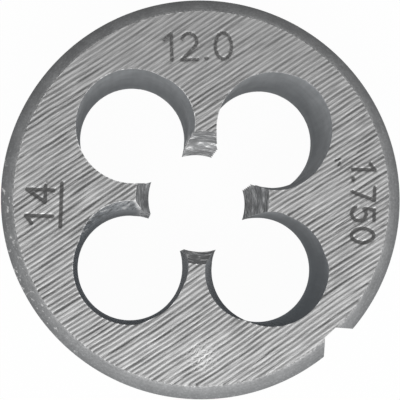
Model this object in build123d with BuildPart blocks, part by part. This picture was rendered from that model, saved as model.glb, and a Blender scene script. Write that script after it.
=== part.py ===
"""A round threading die: one hardened steel disc with a threaded bore.

Four chip holes open into the bore and leave four threaded cutting lands between them. The
cutting side of each land is relieved at the front face, so that it throws its chips forward. The
rim has a notch and four conical detents for the screws of a die stock.

The disc lies on its back face. The origin is the centre of that face, +Z runs along the bore
towards the front face, and one land points along each of +X, +Y, -X and -Y.
"""

import os
from math import ceil, radians, sin, sqrt, tan

from build123d import *

# Driving dimensions, in millimetres and degrees.

# The disc.
body_diameter = 38.0
body_thickness = 14.0
rim_chamfer = 1.3

# The thread that the die cuts: coarse metric, of the 60 degree form.
thread_diameter = 12.0
thread_pitch = 1.75
thread_angle = 60.0
thread_start = 0.5  # pitches from the back face to the groove on the +X land

# The cones that open the bore, as their reach past the thread and their lengths.
lead_clearance = 0.3
front_lead_length = 2.6
back_lead_length = 1.1

# The chip holes, which stand midway between the lands. The rim wall is left outside each hole,
# and the neck is the narrowest place of the land between two holes.
land_count = 4
rim_wall = 4.2
neck_width = 2.45

# The relief at the front of each land's cutting side, ground with a round wheel by hand: how
# much it takes off the land's width at the front face, and how deep it runs into the chip hole.
relief_wheel_radius = 4.7
relief_centre_offset = 6.9
relief_widths = (0.42, 0.42, 0.82, 0.9)
relief_depths = (3.0, 1.5, 1.3, 4.5)

# The notch in the rim, behind one of the chip holes.
notch_direction = -45.7
notch_depth = 1.5
notch_floor_width = 1.4
notch_angle = 82.0

# The conical detents at half the height of the rim. Their directions are counted from the
# notch, to both sides of it.
detent_mouth_diameter = 4.2
detent_angle = 60.0
closing_detent_direction = 60.0
clamping_detent_direction = 135.0

# How far a cutting profile runs past the surface that it has to clear.
overcut = 1.0

# Sizes that follow from the driving dimensions.
body_radius = body_diameter / 2
thread_radius = thread_diameter / 2
thread_height = thread_pitch * sqrt(3) / 2
bore_radius = thread_radius - thread_height * 5 / 8
lead_mouth_radius = thread_radius + lead_clearance
land_spacing = 360 / land_count

# The chip holes touch the rim wall and the necks, which gives their circle and their size.
half_spacing_sine = sin(radians(land_spacing / 2))
chip_circle_radius = (body_radius - rim_wall + neck_width / 2) / (1 + half_spacing_sine)
chip_hole_radius = chip_circle_radius * half_spacing_sine - neck_width / 2


def upright_plane(direction):
    """The plane that holds the Z axis and has its X axis along a direction of the XY plane."""
    outward = Vector(1, 0, 0).rotate(Axis.Z, direction)
    return Plane(origin=(0, 0, 0), x_dir=outward, z_dir=outward.rotate(Axis.Z, -90))


# One groove of the thread, along the arc of the helix that crosses one land. Its section is
# drawn at the start of the arc, from just inside the bore to the flat root.
groove_arc = 60.0
groove_inner_radius = bore_radius - thread_height / 6
groove_root_half_width = thread_pitch / 16
groove_depth = thread_radius - groove_inner_radius
groove_mouth_half_width = groove_root_half_width + groove_depth * tan(radians(thread_angle / 2))

with BuildPart() as groove:
    with BuildLine() as groove_path:
        Helix(pitch=thread_pitch, height=thread_pitch * groove_arc / 360, radius=bore_radius)
    with BuildSketch(Plane.XZ):
        with BuildLine():
            Polyline(
                (groove_inner_radius, -groove_mouth_half_width),
                (thread_radius, -groove_root_half_width),
                (thread_radius, groove_root_half_width),
                (groove_inner_radius, groove_mouth_half_width),
                close=True,
            )
        make_face()
    sweep(path=groove_path.wires()[0], is_frenet=True)

# Every place of that groove on the lands, each a screw motion of the first.
groove_places = []
for land in range(land_count):
    start_angle = land * land_spacing - groove_arc / 2
    for turn in range(-1, ceil(body_thickness / thread_pitch)):
        height = (turn + thread_start + start_angle / 360) * thread_pitch
        groove_places.append(Location((0, 0, height), (0, 0, start_angle)))

with BuildPart() as die:
    # The disc, with its rim chamfered at both faces.
    Cylinder(body_radius, body_thickness, align=(Align.CENTER, Align.CENTER, Align.MIN))
    chamfer(die.edges().filter_by(GeomType.CIRCLE), rim_chamfer)

    # The bore, with a lead cone at each face. Its seam lies where a chip hole takes it away.
    with BuildSketch(upright_plane(land_spacing / 2)):
        with BuildLine():
            Polyline(
                (0, 0),
                (lead_mouth_radius, 0),
                (bore_radius, back_lead_length),
                (bore_radius, body_thickness - front_lead_length),
                (lead_mouth_radius, body_thickness),
                (0, body_thickness),
                close=True,
            )
        make_face()
    revolve(axis=Axis.Z, mode=Mode.SUBTRACT)

    # The chip holes.
    with BuildSketch():
        with PolarLocations(chip_circle_radius, land_count, start_angle=land_spacing / 2):
            Circle(chip_hole_radius)
    extrude(amount=body_thickness, mode=Mode.SUBTRACT)

    # The reliefs, each a round cut that slants away from its land.
    for land, (width, depth) in enumerate(zip(relief_widths, relief_depths)):
        outward = Vector(1, 0, 0).rotate(Axis.Z, land * land_spacing)
        sideways = outward.rotate(Axis.Z, 90)
        slant = sideways * (width / depth) - Vector(0, 0, 1)
        centre_reach = neck_width / 2 - width + relief_wheel_radius
        centre = outward * relief_centre_offset + sideways * centre_reach
        start = centre - slant * overcut + Vector(0, 0, body_thickness)
        with BuildSketch(Plane(origin=start, x_dir=outward, z_dir=(0, 0, 1))):
            Circle(relief_wheel_radius)
        extrude(amount=depth + overcut, dir=slant, mode=Mode.SUBTRACT)

    # The thread on the lands.
    with Locations(*groove_places):
        add(groove.part, mode=Mode.SUBTRACT)

    # The notch, with a flat floor and two flanks that open outwards.
    notch_floor_distance = body_radius - notch_depth
    notch_mouth_distance = body_radius + overcut
    notch_flank_slope = tan(radians(notch_angle / 2))
    notch_mouth_half_width = notch_floor_width / 2 + (notch_depth + overcut) * notch_flank_slope
    with BuildSketch(Plane.XY.rotated((0, 0, notch_direction))):
        with BuildLine():
            Polyline(
                (notch_floor_distance, -notch_floor_width / 2),
                (notch_mouth_distance, -notch_mouth_half_width),
                (notch_mouth_distance, notch_mouth_half_width),
                (notch_floor_distance, notch_floor_width / 2),
                close=True,
            )
        make_face()
    extrude(amount=body_thickness, mode=Mode.SUBTRACT)

    # The detents: the two nearer the notch close a slit die, and the two opposite it clamp.
    detent_depth = detent_mouth_diameter / 2 / tan(radians(detent_angle / 2))
    for from_notch in (closing_detent_direction, clamping_detent_direction):
        for side in (-1, 1):
            outward = Vector(1, 0, 0).rotate(Axis.Z, notch_direction + side * from_notch)
            mouth_centre = outward * body_radius + Vector(0, 0, body_thickness / 2)
            with Locations(Plane(origin=mouth_centre, z_dir=-outward)):
                Cone(
                    bottom_radius=detent_mouth_diameter / 2,
                    top_radius=0,
                    height=detent_depth,
                    align=(Align.CENTER, Align.CENTER, Align.MIN),
                    mode=Mode.SUBTRACT,
                )

die.part.label = "threading_die"

os.makedirs("parts", exist_ok=True)
export_step(die.part, "parts/threading_die.step")
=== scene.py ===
"""Dresses a round threading die in a plain pale studio.

The die is one closed surface: two ground faces with the ridges of the last cut and stamped
numbers, a turned rim with its notch and screw detents, four bored chip holes, and four lands
that carry the thread, each relieved at the front of its cutting side. Lengths are in millimetres
until a mesh is made.
"""

from __future__ import annotations

import logging
from collections.abc import Callable
from dataclasses import dataclass, field
from enum import Enum
from math import atan2, ceil, cos, hypot, inf, pi, radians, sin, sqrt, tan
from typing import ClassVar

import bpy
import numpy as np
from mathutils import Matrix, Vector
from mathutils.geometry import delaunay_2d_cdt

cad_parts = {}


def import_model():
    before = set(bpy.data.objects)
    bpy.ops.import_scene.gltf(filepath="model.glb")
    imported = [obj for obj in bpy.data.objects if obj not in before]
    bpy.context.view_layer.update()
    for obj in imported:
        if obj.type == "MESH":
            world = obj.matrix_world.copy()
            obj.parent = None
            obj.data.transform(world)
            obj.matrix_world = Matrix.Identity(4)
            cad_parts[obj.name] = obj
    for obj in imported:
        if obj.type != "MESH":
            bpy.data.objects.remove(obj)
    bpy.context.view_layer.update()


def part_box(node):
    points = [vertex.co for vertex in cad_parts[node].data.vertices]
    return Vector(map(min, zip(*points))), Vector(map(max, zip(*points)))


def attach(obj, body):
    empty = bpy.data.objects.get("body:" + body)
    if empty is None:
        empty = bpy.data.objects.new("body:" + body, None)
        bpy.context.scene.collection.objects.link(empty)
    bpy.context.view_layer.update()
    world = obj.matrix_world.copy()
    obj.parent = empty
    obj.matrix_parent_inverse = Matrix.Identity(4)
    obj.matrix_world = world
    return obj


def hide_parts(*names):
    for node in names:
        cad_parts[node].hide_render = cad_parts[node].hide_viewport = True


LOG = logging.getLogger("threading_die")

NODE = "threading_die"
BODY = "root"
MM = 0.001


class Zone(Enum):
    """The parts of the die's surface that each have a finish, with the finish's number."""

    FACE = 0
    RIM = 1
    CHIP_HOLE = 2
    THREAD = 3


class Side(Enum):
    """The two flat faces, each with the row of a land's grid that lies on it."""

    FRONT = -1
    BACK = 0


@dataclass(frozen=True)
class Relief:
    """The cut that a round wheel ground into the front of a land's cutting side.

    The width is what it takes off the land at the front face, and the depth is how deep it runs
    into the chip hole. The brightness says how bare it left the hole's wall, from 0 to 1. The
    wheel's centre stands at the offset from the axis, along the land.
    """

    width: float
    depth: float
    brightness: float = 0.0
    wheel_radius: float = 4.7
    centre_offset: float = 6.9


@dataclass(frozen=True)
class RolledEdge:
    """A stretch of a chip hole's front edge that grinding rolled inwards or wore outwards.

    The middle and the reach to both sides are angles round the hole's centre, 0 on the side of
    the rim. A shift below zero leans into the hole. It is whole down to the lip below the face,
    and gone at the depth. The steepness says how soon it is whole from the ends of the reach.
    """

    hole: int
    middle: float
    reach: float
    shift: float
    depth: float = 0.6
    lip: float = 0.1
    steepness: float = 2.0


@dataclass(frozen=True)
class DieForm:
    """The sizes of the die, and the curves where its surfaces meet.

    Angles are in radians, counted from the +X land. Heights are counted from the back face. The
    edges of the thread's root and crest are counted from a groove's middle, in pitches.
    """

    body_radius: float
    thickness: float
    rim_chamfer: float = 1.3
    thread_radius: float = 6.0
    thread_pitch: float = 1.75
    thread_start: float = 0.5
    thread_flank: float = radians(30)
    root_edge: float = 1 / 16
    crest_edge: float = 3 / 8
    lead_clearance: float = 0.3
    front_lead: float = 2.6
    back_lead: float = 1.1
    land_count: int = 4
    rim_wall: float = 4.2
    neck_width: float = 2.45
    notch_direction: float = radians(-45.7)
    notch_depth: float = 1.5
    notch_floor_width: float = 1.4
    notch_flank: float = radians(41)
    detent_mouth_radius: float = 2.1
    detent_flank: float = radians(30)
    detent_margin: float = 1.3
    detent_rounds: int = 30
    closing_detent: float = radians(60)
    clamping_detent: float = radians(135)
    reliefs: tuple[Relief, ...] = (
        Relief(0.42, 3.0),
        Relief(0.42, 1.5),
        Relief(0.82, 1.3, brightness=1.0),
        Relief(0.9, 4.5),
    )
    rolled_edges: tuple[RolledEdge, ...] = (
        RolledEdge(0, radians(-33), radians(70), 0.19),
        RolledEdge(2, radians(91), radians(42), -0.2),
        RolledEdge(3, radians(88), radians(44), -0.22),
    )

    @classmethod
    def from_frame(cls) -> DieForm:
        """Takes the body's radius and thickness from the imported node.

        Returns:
            The die's form.
        """
        low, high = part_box(NODE)
        reach = min(high.x, high.y, -low.x, -low.y)
        return cls(body_radius=reach / MM, thickness=(high.z - low.z) / MM)

    @property
    def land_spacing(self) -> float:
        """Angle from one land to the next."""
        return 2 * pi / self.land_count

    @property
    def bore_radius(self) -> float:
        """Radius of the thread's crests, as the standard metric form has it."""
        return self.thread_radius - self.thread_pitch * sqrt(3) / 2 * 5 / 8

    @property
    def mouth_radius(self) -> float:
        """Radius of the lead cone where it opens at a face."""
        return self.thread_radius + self.lead_clearance

    @property
    def face_radius(self) -> float:
        """Radius of a flat face, inside the rim's chamfer."""
        return self.body_radius - self.rim_chamfer

    @property
    def chip_circle(self) -> float:
        """Radius of the circle that the chip holes are centred on."""
        half_sine = sin(self.land_spacing / 2)
        return (self.body_radius - self.rim_wall + self.neck_width / 2) / (1 + half_sine)

    @property
    def chip_radius(self) -> float:
        """Radius of a chip hole."""
        return self.chip_circle * sin(self.land_spacing / 2) - self.neck_width / 2

    @property
    def notch_distance(self) -> float:
        """Distance of the notch's floor from the axis."""
        return self.body_radius - self.notch_depth

    @property
    def detent_directions(self) -> list[float]:
        """Directions of the four screw detents."""
        offsets = (self.closing_detent, self.clamping_detent)
        return [self.notch_direction + side * turn for turn in offsets for side in (-1, 1)]

    def face_height(self, side: Side, cut: np.ndarray | float = 0.0) -> np.ndarray | float:
        """Height of a face above the back face, where it is cut to a depth."""
        return self.thickness - cut if side is Side.FRONT else cut

    def hole_direction(self, hole: int) -> float:
        """Direction of a chip hole, which stands between the land of its number and the next."""
        return (hole + 0.5) * self.land_spacing

    def hole_centre(self, hole: int) -> np.ndarray:
        """Centre of a chip hole in the XY plane."""
        direction = self.hole_direction(hole)
        return self.chip_circle * np.array([cos(direction), sin(direction)])

    def relief_centre(self, land: int, height: np.ndarray) -> tuple[float, np.ndarray]:
        """Where the wheel's centre stands beside a land, at a height.

        The wheel slants away from the land, until it no longer touches the chip hole's wall.

        Args:
            land: The land's number.
            height: Height above the back face.

        Returns:
            The distance along the land's middle line, and the distance to its cutting side.
        """
        relief = self.reliefs[land]
        along = relief.centre_offset
        start = self.neck_width / 2 - relief.width + relief.wheel_radius
        hole_offset = self.chip_circle * cos(self.land_spacing / 2)
        clear = (self.chip_radius - relief.wheel_radius) ** 2 - (hole_offset - along) ** 2
        end = hole_offset - sqrt(clear)
        aside = start + (self.thickness - height) * relief.width / relief.depth
        return along, np.clip(aside, start, end)

    def land_edge(
        self, land: int, side: int, radius: np.ndarray, height: np.ndarray
    ) -> np.ndarray:
        """Angle from a land's middle to its edge.

        Args:
            land: The land's number.
            side: 1 for the cutting side, or -1 for the other side.
            radius: Distance from the axis.
            height: Height above the back face.

        Returns:
            The angle at each point, without its sign.
        """
        square = radius**2 + self.chip_circle**2 - self.chip_radius**2
        edge = self.land_spacing / 2 - np.arccos(square / (2 * radius * self.chip_circle))
        if side < 0:
            return edge
        along, aside = self.relief_centre(land, height)
        reach = np.hypot(along, aside)
        square = radius**2 + reach**2 - self.reliefs[land].wheel_radius ** 2
        half = np.arccos(np.clip(square / (2 * radius * reach), -1, 1))
        return np.minimum(edge, np.arctan2(aside, along) - half)

    def hole_surface(self, hole: int, turn: np.ndarray, height: np.ndarray) -> np.ndarray:
        """Distance of a chip hole's wall from the hole's own centre.

        Args:
            hole: The hole's number.
            turn: Angle round the hole's centre, 0 on the side of the rim.
            height: Height above the back face.

        Returns:
            The distance at each point.
        """
        along, aside = self.relief_centre(hole, height)
        offset = self.chip_circle * cos(self.land_spacing / 2)
        gap_x, gap_y = along - offset, aside - offset
        heading = turn + self.land_spacing / 2
        forward = gap_x * np.cos(heading) + gap_y * np.sin(heading)
        square = self.reliefs[hole].wheel_radius ** 2 - gap_x**2 - gap_y**2 + forward**2
        wall = np.maximum(self.chip_radius, forward + np.sqrt(np.maximum(square, 0)))
        return wall + self.rolled(hole, turn, height)

    def rolled(self, hole: int, turn: np.ndarray, height: np.ndarray) -> np.ndarray:
        """How far a chip hole's front edge is rolled or worn.

        Args:
            hole: The hole's number.
            turn: Angle round the hole's centre, 0 on the side of the rim.
            height: Height above the back face.

        Returns:
            The shift at each point, below zero into the hole.
        """
        shift = np.zeros(np.broadcast(turn, height).shape)
        for edge in self.rolled_edges:
            if edge.hole == hole:
                beside = 1 - np.abs(wrapped(turn - edge.middle)) / edge.reach
                rise = 1 + (height - self.thickness + edge.lip) / (edge.depth - edge.lip)
                share = smooth_step(edge.steepness * beside)
                shift = shift + edge.shift * share * np.clip(rise, 0, 1)
        return shift

    def bore_surface(self, height: np.ndarray, angle: np.ndarray) -> np.ndarray:
        """Radius of the threaded bore, with its lead cones and thread.

        Args:
            height: Height above the back face.
            angle: Direction from the axis.

        Returns:
            The radius at each point.
        """
        to_front = np.clip((self.thickness - height) / self.front_lead, 0, 1)
        to_back = np.clip(height / self.back_lead, 0, 1)
        narrowing = self.bore_radius - self.mouth_radius
        cone = self.mouth_radius + narrowing * np.minimum(to_front, to_back)
        turns = height / self.thread_pitch - angle / (2 * pi) - self.thread_start
        from_groove = np.abs(turns - np.round(turns)) * self.thread_pitch
        beyond_root = np.maximum(from_groove - self.thread_pitch * self.root_edge, 0)
        groove = self.thread_radius - beyond_root / tan(self.thread_flank)
        return np.maximum(cone, groove)

    def notch_surface(self, angle: np.ndarray) -> np.ndarray:
        """Radius at which the notch cuts the rim.

        Args:
            angle: Direction from the axis.

        Returns:
            The radius at each point, infinite away from the notch.
        """
        widest_turn, least_reach, last_reach = 1.0, -1e-3, -0.1
        turn = np.abs(wrapped(angle - self.notch_direction))
        half_floor = self.notch_floor_width / 2
        slope = tan(self.notch_flank)
        floor = self.notch_distance / np.cos(np.minimum(turn, widest_turn))
        reach = np.sin(turn) - slope * np.cos(turn)
        steep = np.where(reach < least_reach, reach, least_reach)
        flank = (half_floor - self.notch_distance * slope) / steep
        radius = np.where(turn <= atan2(half_floor, self.notch_distance), floor, flank)
        return np.where(reach < last_reach, radius, np.inf)

    def notch_turn(self, radius: np.ndarray) -> np.ndarray:
        """Turn from the notch's middle to where its flank meets a circle round the axis.

        Args:
            radius: The circle's radius.

        Returns:
            The turn in radians.
        """
        slope = tan(self.notch_flank)
        offset = self.notch_floor_width / 2 - self.notch_distance * slope
        root = np.sqrt(radius**2 * (1 + slope**2) - offset**2)
        return np.arccos((-offset * slope + root) / (1 + slope**2) / radius)

    def rim_surface(self, height: np.ndarray) -> np.ndarray:
        """Radius of the turned rim with its two chamfers."""
        from_face = np.minimum(height, self.thickness - height)
        return self.body_radius - np.clip(self.rim_chamfer - from_face, 0, self.rim_chamfer)

    def detent_surface(self, height: np.ndarray, angle: np.ndarray) -> np.ndarray:
        """Radius at which the detents cut the rim.

        Args:
            height: Height above the back face.
            angle: Direction from the axis.

        Returns:
            The radius at each point, infinite away from the detents.
        """
        tip = self.body_radius - self.detent_mouth_radius / tan(self.detent_flank)
        widest = self.detent_mouth_radius * self.detent_margin
        rise = height - self.thickness / 2
        radius = np.full(np.shape(angle), np.inf)
        for direction in self.detent_directions:
            turn = wrapped(angle - direction)
            near = np.hypot(self.body_radius * turn, rise) < widest
            reach = np.full(np.shape(angle), self.body_radius)
            for _ in range(self.detent_rounds):
                off_axis = np.hypot(reach * np.sin(turn), rise)
                reach = (tip + off_axis / tan(self.detent_flank)) / np.cos(turn)
            radius = np.where(near, np.minimum(radius, reach), radius)
        return radius


def wrapped(angle: np.ndarray) -> np.ndarray:
    """Brings an angle into the range from minus pi to pi."""
    return (np.asarray(angle) + pi) % (2 * pi) - pi


def smooth_step(value: np.ndarray) -> np.ndarray:
    """Eases a value from 0 to 1."""
    eased = np.clip(value, 0, 1)
    return eased * eased * (3 - 2 * eased)


@dataclass(frozen=True)
class Stroke:
    """One stroke of a stamped figure: a line of points in the figure's own box.

    The box is one unit high, and its X axis runs along the line of figures.
    """

    ARC_STEP: ClassVar[float] = 20
    FEWEST_STEPS: ClassVar[int] = 3

    points: tuple[tuple[float, float], ...]

    @classmethod
    def arc(
        cls, centre: tuple[float, float], size: tuple[float, float], start: float, end: float
    ) -> Stroke:
        """An arc of an ellipse.

        Args:
            centre: The ellipse's centre.
            size: Its half width and half height.
            start: Start angle in degrees.
            end: End angle in degrees.

        Returns:
            The stroke.
        """
        steps = max(cls.FEWEST_STEPS, ceil(abs(end - start) / cls.ARC_STEP))
        turns = np.radians(np.linspace(start, end, steps + 1))
        return cls(
            tuple((centre[0] + size[0] * cos(t), centre[1] + size[1] * sin(t)) for t in turns)
        )


FIGURES: dict[str, tuple[float, tuple[Stroke, ...]]] = {
    "0": (0.62, (Stroke.arc((0.31, 0.5), (0.31, 0.5), 0, 360),)),
    "1": (0.34, (Stroke(((0.0, 0.78), (0.28, 1.0), (0.28, 0.0))),)),
    "2": (
        0.6,
        (
            Stroke.arc((0.3, 0.7), (0.29, 0.3), 160, -40),
            Stroke(((0.52, 0.51), (0.0, 0.0), (0.6, 0.0))),
        ),
    ),
    "4": (0.62, (Stroke(((0.46, 0.0), (0.46, 1.0), (0.0, 0.3), (0.62, 0.3))),)),
    "5": (
        0.58,
        (
            Stroke(((0.54, 1.0), (0.08, 1.0), (0.04, 0.55))),
            Stroke.arc((0.27, 0.32), (0.31, 0.32), 138, -150),
        ),
    ),
    "7": (0.56, (Stroke(((0.0, 1.0), (0.56, 1.0), (0.2, 0.0))),)),
    ".": (0.06, (Stroke(((0.0, 0.04), (0.06, 0.04))),)),
}


@dataclass(frozen=True)
class StampedNumber:
    """A number struck into a face with hand stamps.

    The baseline starts at the corner, and runs in the direction given. The line under a number
    stands off by the drop and runs past it by the overhang, both in heights of the figures.
    """

    text: str
    corner: tuple[float, float]
    direction: float
    height: float = 2.5
    gap: float = 0.62
    underlined: bool = False
    drop: float = 0.3
    overhang: float = 0.1
    width: float = 0.4
    force: float = 1.0

    def strokes(self) -> list[np.ndarray]:
        """Follows the stamps over the face.

        Returns:
            The strokes, as lines of points in the plane of the face.
        """
        lines = []
        pen = 0.0
        for figure in self.text:
            advance, strokes = FIGURES[figure]
            for stroke in strokes:
                lines.append(np.array(stroke.points) * self.height + np.array([pen, 0.0]))
            pen += advance * self.height + self.gap
        if self.underlined:
            below = -self.drop * self.height
            beyond = self.overhang * self.height
            lines.append(np.array([[-beyond, below], [pen - self.gap + beyond, below]]))
        forward, sideways = cos(self.direction), sin(self.direction)
        turn = np.array([[forward, sideways], [-sideways, forward]])
        return [line @ turn + np.array(self.corner) for line in lines]


@dataclass(frozen=True)
class Nick:
    """A short nick in a face, as a line of points in its plane."""

    points: tuple[tuple[float, float], ...]
    width: float = 0.2


def distance_to_line(points: np.ndarray, line: np.ndarray) -> np.ndarray:
    """Distance of points in the plane from a line of straight pieces.

    Args:
        points: The points, one row each.
        line: The line's own points, one row each.

    Returns:
        The distance of each point.
    """
    shortest = 1e-12
    nearest = np.full(len(points), np.inf)
    for start, end in zip(line[:-1], line[1:]):
        along = end - start
        share = np.clip((points - start) @ along / max(along @ along, shortest), 0, 1)
        gap = points - start - share[:, None] * along
        nearest = np.minimum(nearest, np.hypot(gap[:, 0], gap[:, 1]))
    return nearest


@dataclass(frozen=True)
class Wave:
    """A wave over a face, with its run along and across the furrows for each radian."""

    height: float
    run: float
    run_across: float = inf
    start: float = 0.0

    def at(self, along: np.ndarray, across: np.ndarray) -> np.ndarray:
        """The wave's height at places along and across the furrows."""
        return self.height * np.sin(along / self.run + across / self.run_across + self.start)


@dataclass
class ToolMarks:
    """The furrows that the last cut left across a face, with what was struck into it later.

    The furrows are firm, but ease towards +Y. Along their length they keep the steady share of
    their depth, and swell by more: each swell is a height and a run. A struck stroke presses them
    flat. Points of the grid lie at shares of a furrow's width. Near a stroke they give way to
    rows beside it, whose offsets are counted in its widths.
    """

    reach: float
    seed: int
    direction: float = radians(33.5)
    pitch: float = 0.432
    depth: float = 0.055
    unevenness: float = 0.08
    spare_furrows: int = 4
    strength_range: tuple[float, float] = (0.75, 1.0)
    peak_range: tuple[float, float] = (0.4, 0.6)
    roundness: float = 1.3
    wander: tuple[Wave, ...] = (Wave(0.22, 8.5, start=0.4), Wave(0.12, 4.1, 6.3, 2.0))
    chatter: Wave = Wave(0.022, 0.62, 1.9)
    chatter_patches: Wave = Wave(0.5, 7.0, 4.7)
    steady: float = 0.8
    swells: tuple[tuple[float, float], ...] = ((0.12, 2.3), (0.08, 0.9))
    firm: float = 1.07
    easing: float = 0.22
    eases_from: float = 8.0
    eases_over: float = 6.0
    numbers: tuple[StampedNumber, ...] = ()
    nicks: tuple[Nick, ...] = ()
    stamp_depth: float = 0.05
    stamp_slope: float = 1.4
    stamp_start: float = 0.35
    pressed_flat: float = 0.5
    grid_step: float = 0.55
    grid_shares: tuple[float, ...] = (0.0, 0.14, 0.32, 0.5, 0.68, 0.86)
    grid_rounds: int = 6
    cleared: float = 0.85
    closest: float = 0.055
    row_offsets: tuple[float, ...] = (-0.72, -0.5, -0.3, 0.0, 0.3, 0.5, 0.72)
    row_overhang: float = 0.6
    row_step: float = 0.1
    row_least: int = 3
    edges: np.ndarray = field(init=False)
    strengths: np.ndarray = field(init=False)
    peaks: np.ndarray = field(init=False)
    swings: np.ndarray = field(init=False)

    def __post_init__(self) -> None:
        """Draws the width and the strength of every furrow."""
        rng = np.random.default_rng(self.seed)
        count = ceil(2 * self.reach / self.pitch) + self.spare_furrows
        widths = self.pitch * (1 + self.unevenness * rng.uniform(-1, 1, count))
        self.edges = np.concatenate([[0.0], np.cumsum(widths)])
        self.edges -= self.edges[-1] / 2
        self.strengths = rng.uniform(*self.strength_range, count)
        self.peaks = rng.uniform(*self.peak_range, count)
        self.swings = rng.uniform(0, 2 * pi, (count, 2))

    def bend(self, along: np.ndarray, across: np.ndarray) -> np.ndarray:
        """How far the furrows wander and chatter sideways from straight lines.

        Args:
            along: Place along the furrows.
            across: Place across them.

        Returns:
            The shift across the furrows.
        """
        slow = sum(wave.at(along, across) for wave in self.wander)
        patches = smooth_step(0.5 + self.chatter_patches.at(along, across))
        return slow + self.chatter.at(along, across) * patches

    def to_furrows(self, points: np.ndarray) -> tuple[np.ndarray, np.ndarray]:
        """Where points of the face lie among the furrows.

        Args:
            points: The points in the face's plane, one row each.

        Returns:
            Their places along and across the furrows.
        """
        along = points[:, 0] * cos(self.direction) + points[:, 1] * sin(self.direction)
        across = points[:, 1] * cos(self.direction) - points[:, 0] * sin(self.direction)
        return along, across - self.bend(along, across)

    def furrow(self, points: np.ndarray) -> np.ndarray:
        """How deep points of the face lie in the furrows.

        Args:
            points: The points in the face's plane, one row each.

        Returns:
            The depth of each, from 0 at a crest to about 1.
        """
        along, across = self.to_furrows(points)
        index = np.clip(np.searchsorted(self.edges, across) - 1, 0, len(self.strengths) - 1)
        share = (across - self.edges[index]) / (self.edges[index + 1] - self.edges[index])
        peak = self.peaks[index]
        ramp = np.where(share < peak, share / peak, (1 - share) / (1 - peak))
        fade = self.steady
        for (height, run), start in zip(self.swells, self.swings[index].T):
            fade = fade + height * np.sin(along / run + start)
        eased = smooth_step((points[:, 1] - self.eases_from) / self.eases_over)
        fade = fade * (self.firm - self.easing * eased)
        form = np.sin(np.clip(ramp, 0, 1) * pi / 2) ** self.roundness
        return self.strengths[index] * fade * form

    def struck(self, points: np.ndarray) -> np.ndarray:
        """How fully points of the face lie in a stamped figure or a nick.

        Args:
            points: The points in the face's plane, one row each.

        Returns:
            The share of each, from 0 to 1.
        """
        inside = np.zeros(len(points))
        for line, width, force in self.lines():
            share = 1 - distance_to_line(points, line) / (width / 2)
            pressed = smooth_step(share * self.stamp_slope + self.stamp_start)
            inside = np.maximum(inside, force * pressed)
        return inside

    def lines(self) -> list[tuple[np.ndarray, float, float]]:
        """Every stamped stroke and nick, with its width and the force of the blow."""
        struck = [(line, num.width, num.force) for num in self.numbers for line in num.strokes()]
        return struck + [(np.array(nick.points), nick.width, 1.0) for nick in self.nicks]

    def cut(self, points: np.ndarray) -> np.ndarray:
        """Depth of everything that is cut or struck into the face.

        Args:
            points: The points in the face's plane, one row each.

        Returns:
            The depth at each, in millimetres.
        """
        struck = self.struck(points)
        furrows = self.depth * self.furrow(points) * (1 - self.pressed_flat * struck)
        return furrows + self.stamp_depth * struck

    def grid(self) -> np.ndarray:
        """Lays points along every furrow, closest together where its form turns.

        Returns:
            The points in the face's plane, one row each.
        """
        along = np.arange(-self.reach, self.reach + self.grid_step, self.grid_step)
        shares = np.array(self.grid_shares)
        starts = self.edges[:-1, None] + np.diff(self.edges)[:, None] * shares
        lines, places = np.meshgrid(starts.ravel(), along, indexing="ij")
        places = places + (np.arange(len(lines))[:, None] % 2) * self.grid_step / 2
        across = lines.copy()
        for _ in range(self.grid_rounds):
            across = lines + self.bend(places, across)
        x = places * cos(self.direction) - across * sin(self.direction)
        y = places * sin(self.direction) + across * cos(self.direction)
        return self.with_figures(np.column_stack([x.ravel(), y.ravel()]))

    def with_figures(self, points: np.ndarray) -> np.ndarray:
        """Exchanges the points under each stamped figure for finer ones.

        Args:
            points: The points in the face's plane, one row each.

        Returns:
            The points with those that the figures need.
        """
        extra = []
        for line, width, _ in self.lines():
            points = points[distance_to_line(points, line) > width * self.cleared]
            extra.append(self.beside(line, width))
        if not extra:
            return points
        return thinned(np.vstack([points, *extra]), self.closest)

    def beside(self, line: np.ndarray, width: float) -> np.ndarray:
        """Lays rows of points along a stroke and to both sides of it.

        Args:
            line: The stroke's own points, one row each.
            width: The stroke's width.

        Returns:
            The points, one row each.
        """
        rows = []
        beyond = width * self.row_overhang
        for start, end in zip(line[:-1], line[1:]):
            length = hypot(*(end - start))
            forward = (end - start) / length
            sideways = np.array([-forward[1], forward[0]])
            count = max(self.row_least, ceil((length + 2 * beyond) / self.row_step))
            places = np.linspace(-beyond, length + beyond, count)
            for offset in self.row_offsets:
                rows.append(start + places[:, None] * forward + offset * width * sideways)
        return np.vstack(rows)


def thinned(points: np.ndarray, gap: float) -> np.ndarray:
    """Keeps one point of each cell of a square grid, the last one in it.

    Args:
        points: The points in a plane, one row each.
        gap: The width of a cell.

    Returns:
        The points that stay, in their order.
    """
    cells = np.round(points / gap).astype(int)
    _, last = np.unique(cells[::-1], axis=0, return_index=True)
    return points[len(points) - 1 - np.sort(last)]


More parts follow.
